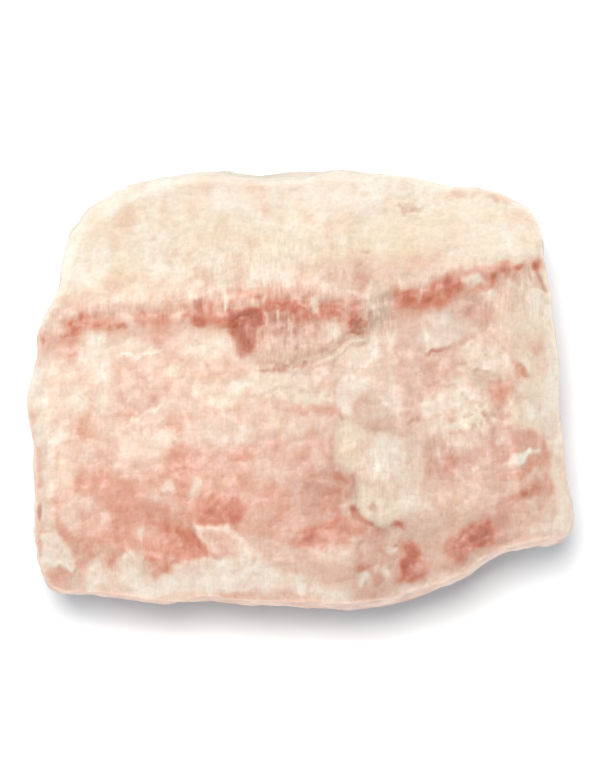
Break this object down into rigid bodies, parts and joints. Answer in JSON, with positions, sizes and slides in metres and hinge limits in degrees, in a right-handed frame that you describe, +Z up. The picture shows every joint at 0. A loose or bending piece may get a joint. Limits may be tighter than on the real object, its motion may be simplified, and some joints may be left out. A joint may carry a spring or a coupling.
{
  "type": "raw calcite",
  "caption": "Rough block of banded pink and cream calcite with an iron-stained seam, broken on every side. Lies on its flattest break.",
  "frame": {"origin": "on the resting face, under the middle of the block", "axes": "+X along the block's length, +Y towards the cream back edge, +Z up from the resting face to the broken upper face"},
  "size_m": [0.1104, 0.091, 0.0431],
  "materials": {
    "calcite": "raw"
  },
  "bodies": {
    "root": {"calcite": "calcite"}
  },
  "joints": []
}
